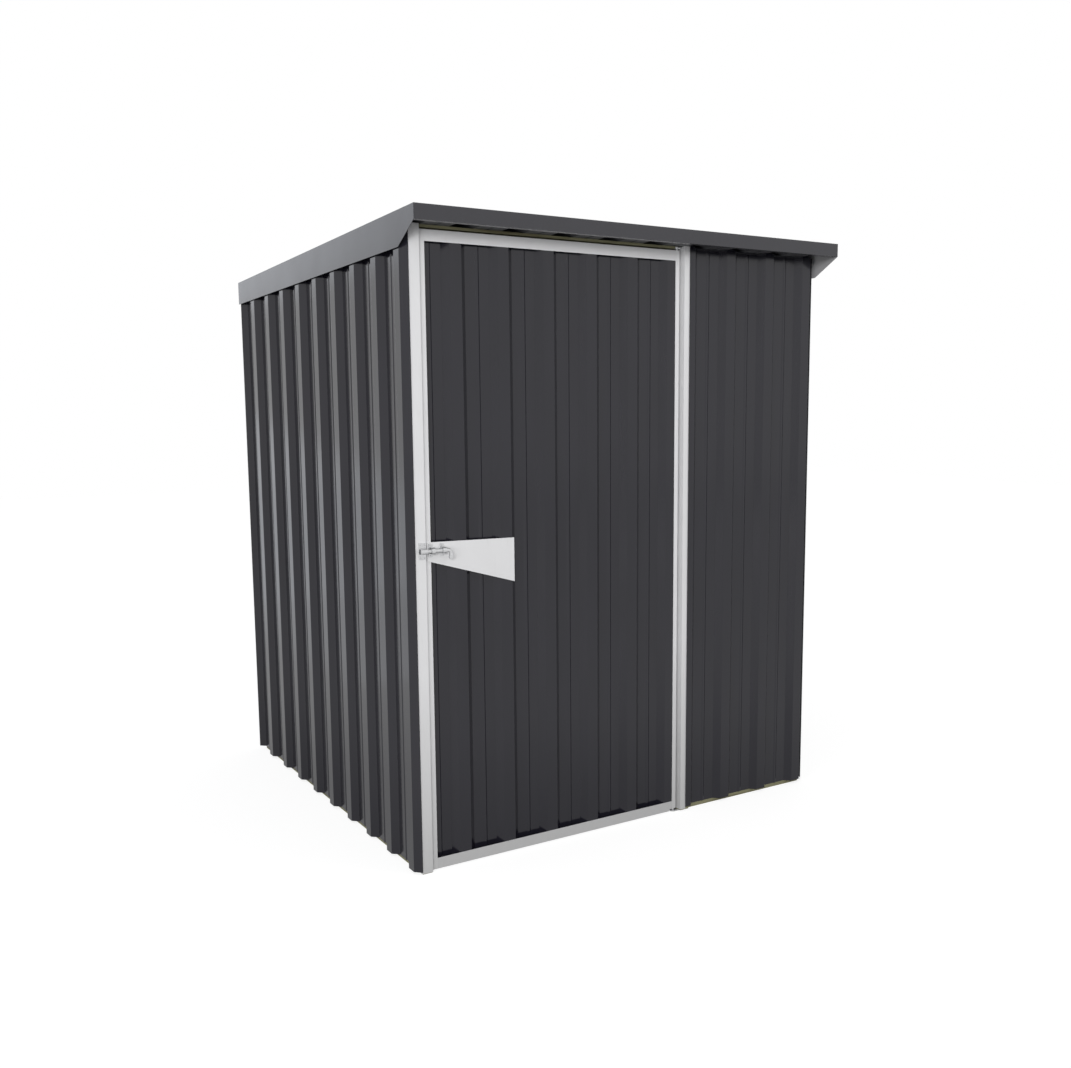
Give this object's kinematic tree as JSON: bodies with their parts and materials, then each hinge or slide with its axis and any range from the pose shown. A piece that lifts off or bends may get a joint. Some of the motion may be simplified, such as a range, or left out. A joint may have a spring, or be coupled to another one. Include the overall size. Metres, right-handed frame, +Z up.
{
  "type": "metal tool shed",
  "caption": "Mono-pitch garden tool shed: ribbed steel sheets on a timber frame, roof falling to the back, framed outward door on pivot pins with a sliding pad bolt.",
  "frame": {"origin": "ground level, at the middle of the shed's overall footprint", "axes": "+X to the right along the front, +Y from the front to the back, +Z up"},
  "size_m": [1.598, 1.6645, 1.9685],
  "materials": {
    "charcoal_sheet": "satin baked paint on ribbed steel sheet",
    "charcoal_trim": "satin baked paint on folded steel flashing",
    "white_frame": "satin pale zinc-grey paint on folded steel",
    "zinc_hardware": "bright zinc plate",
    "treated_timber": "rough sawn treated pine, greenish"
  },
  "bodies": {
    "shed": {"left_bottom_plate": "treated_timber", "right_bottom_plate": "treated_timber", "back_bottom_plate": "treated_timber", "front_bottom_plate": "treated_timber", "front_left_stud": "treated_timber", "hinge_stud": "treated_timber", "front_right_stud": "treated_timber", "back_left_stud": "treated_timber", "back_right_stud": "treated_timber", "left_girt": "treated_timber", "right_girt": "treated_timber", "back_girt": "treated_timber", "front_girt": "treated_timber", "front_top_plate": "treated_timber", "left_top_plate": "treated_timber", "right_top_plate": "treated_timber", "back_top_plate": "treated_timber", "roof_purlin": "treated_timber", "left_wall_sheet": "charcoal_sheet", "right_wall_sheet": "charcoal_sheet", "back_wall_sheet": "charcoal_sheet", "front_wall_sheet": "charcoal_sheet", "roof_sheet": "charcoal_sheet", "front_fascia": "charcoal_trim", "left_barge": "charcoal_trim", "right_barge": "charcoal_trim", "left_door_post": "white_frame", "right_door_post": "white_frame", "top_pivot_bracket": "zinc_hardware", "bottom_pivot_bracket": "zinc_hardware", "bolt_keeper": "zinc_hardware"},
    "door": {"door_skin": "charcoal_sheet", "door_head_rail": "white_frame", "door_foot_rail": "white_frame", "door_lock_stile": "white_frame", "door_hinge_stile": "white_frame", "top_pivot_pin": "zinc_hardware", "bottom_pivot_pin": "zinc_hardware", "lock_plate": "white_frame", "bolt_guide_near": "zinc_hardware", "bolt_guide_far": "zinc_hardware"},
    "bolt": {"lock_bolt": "zinc_hardware"}
  },
  "joints": [
    {"name": "door_hinge", "type": "hinge", "parent": "shed", "child": "door", "pos_m": [0.189, -0.70975, 0], "axis": [0, 0, 1], "range_deg": [0, 100]},
    {"name": "bolt_slide", "type": "slide", "parent": "door", "child": "bolt", "axis": [1, 0, 0], "range_m": [0, 0.024]}
  ]
}
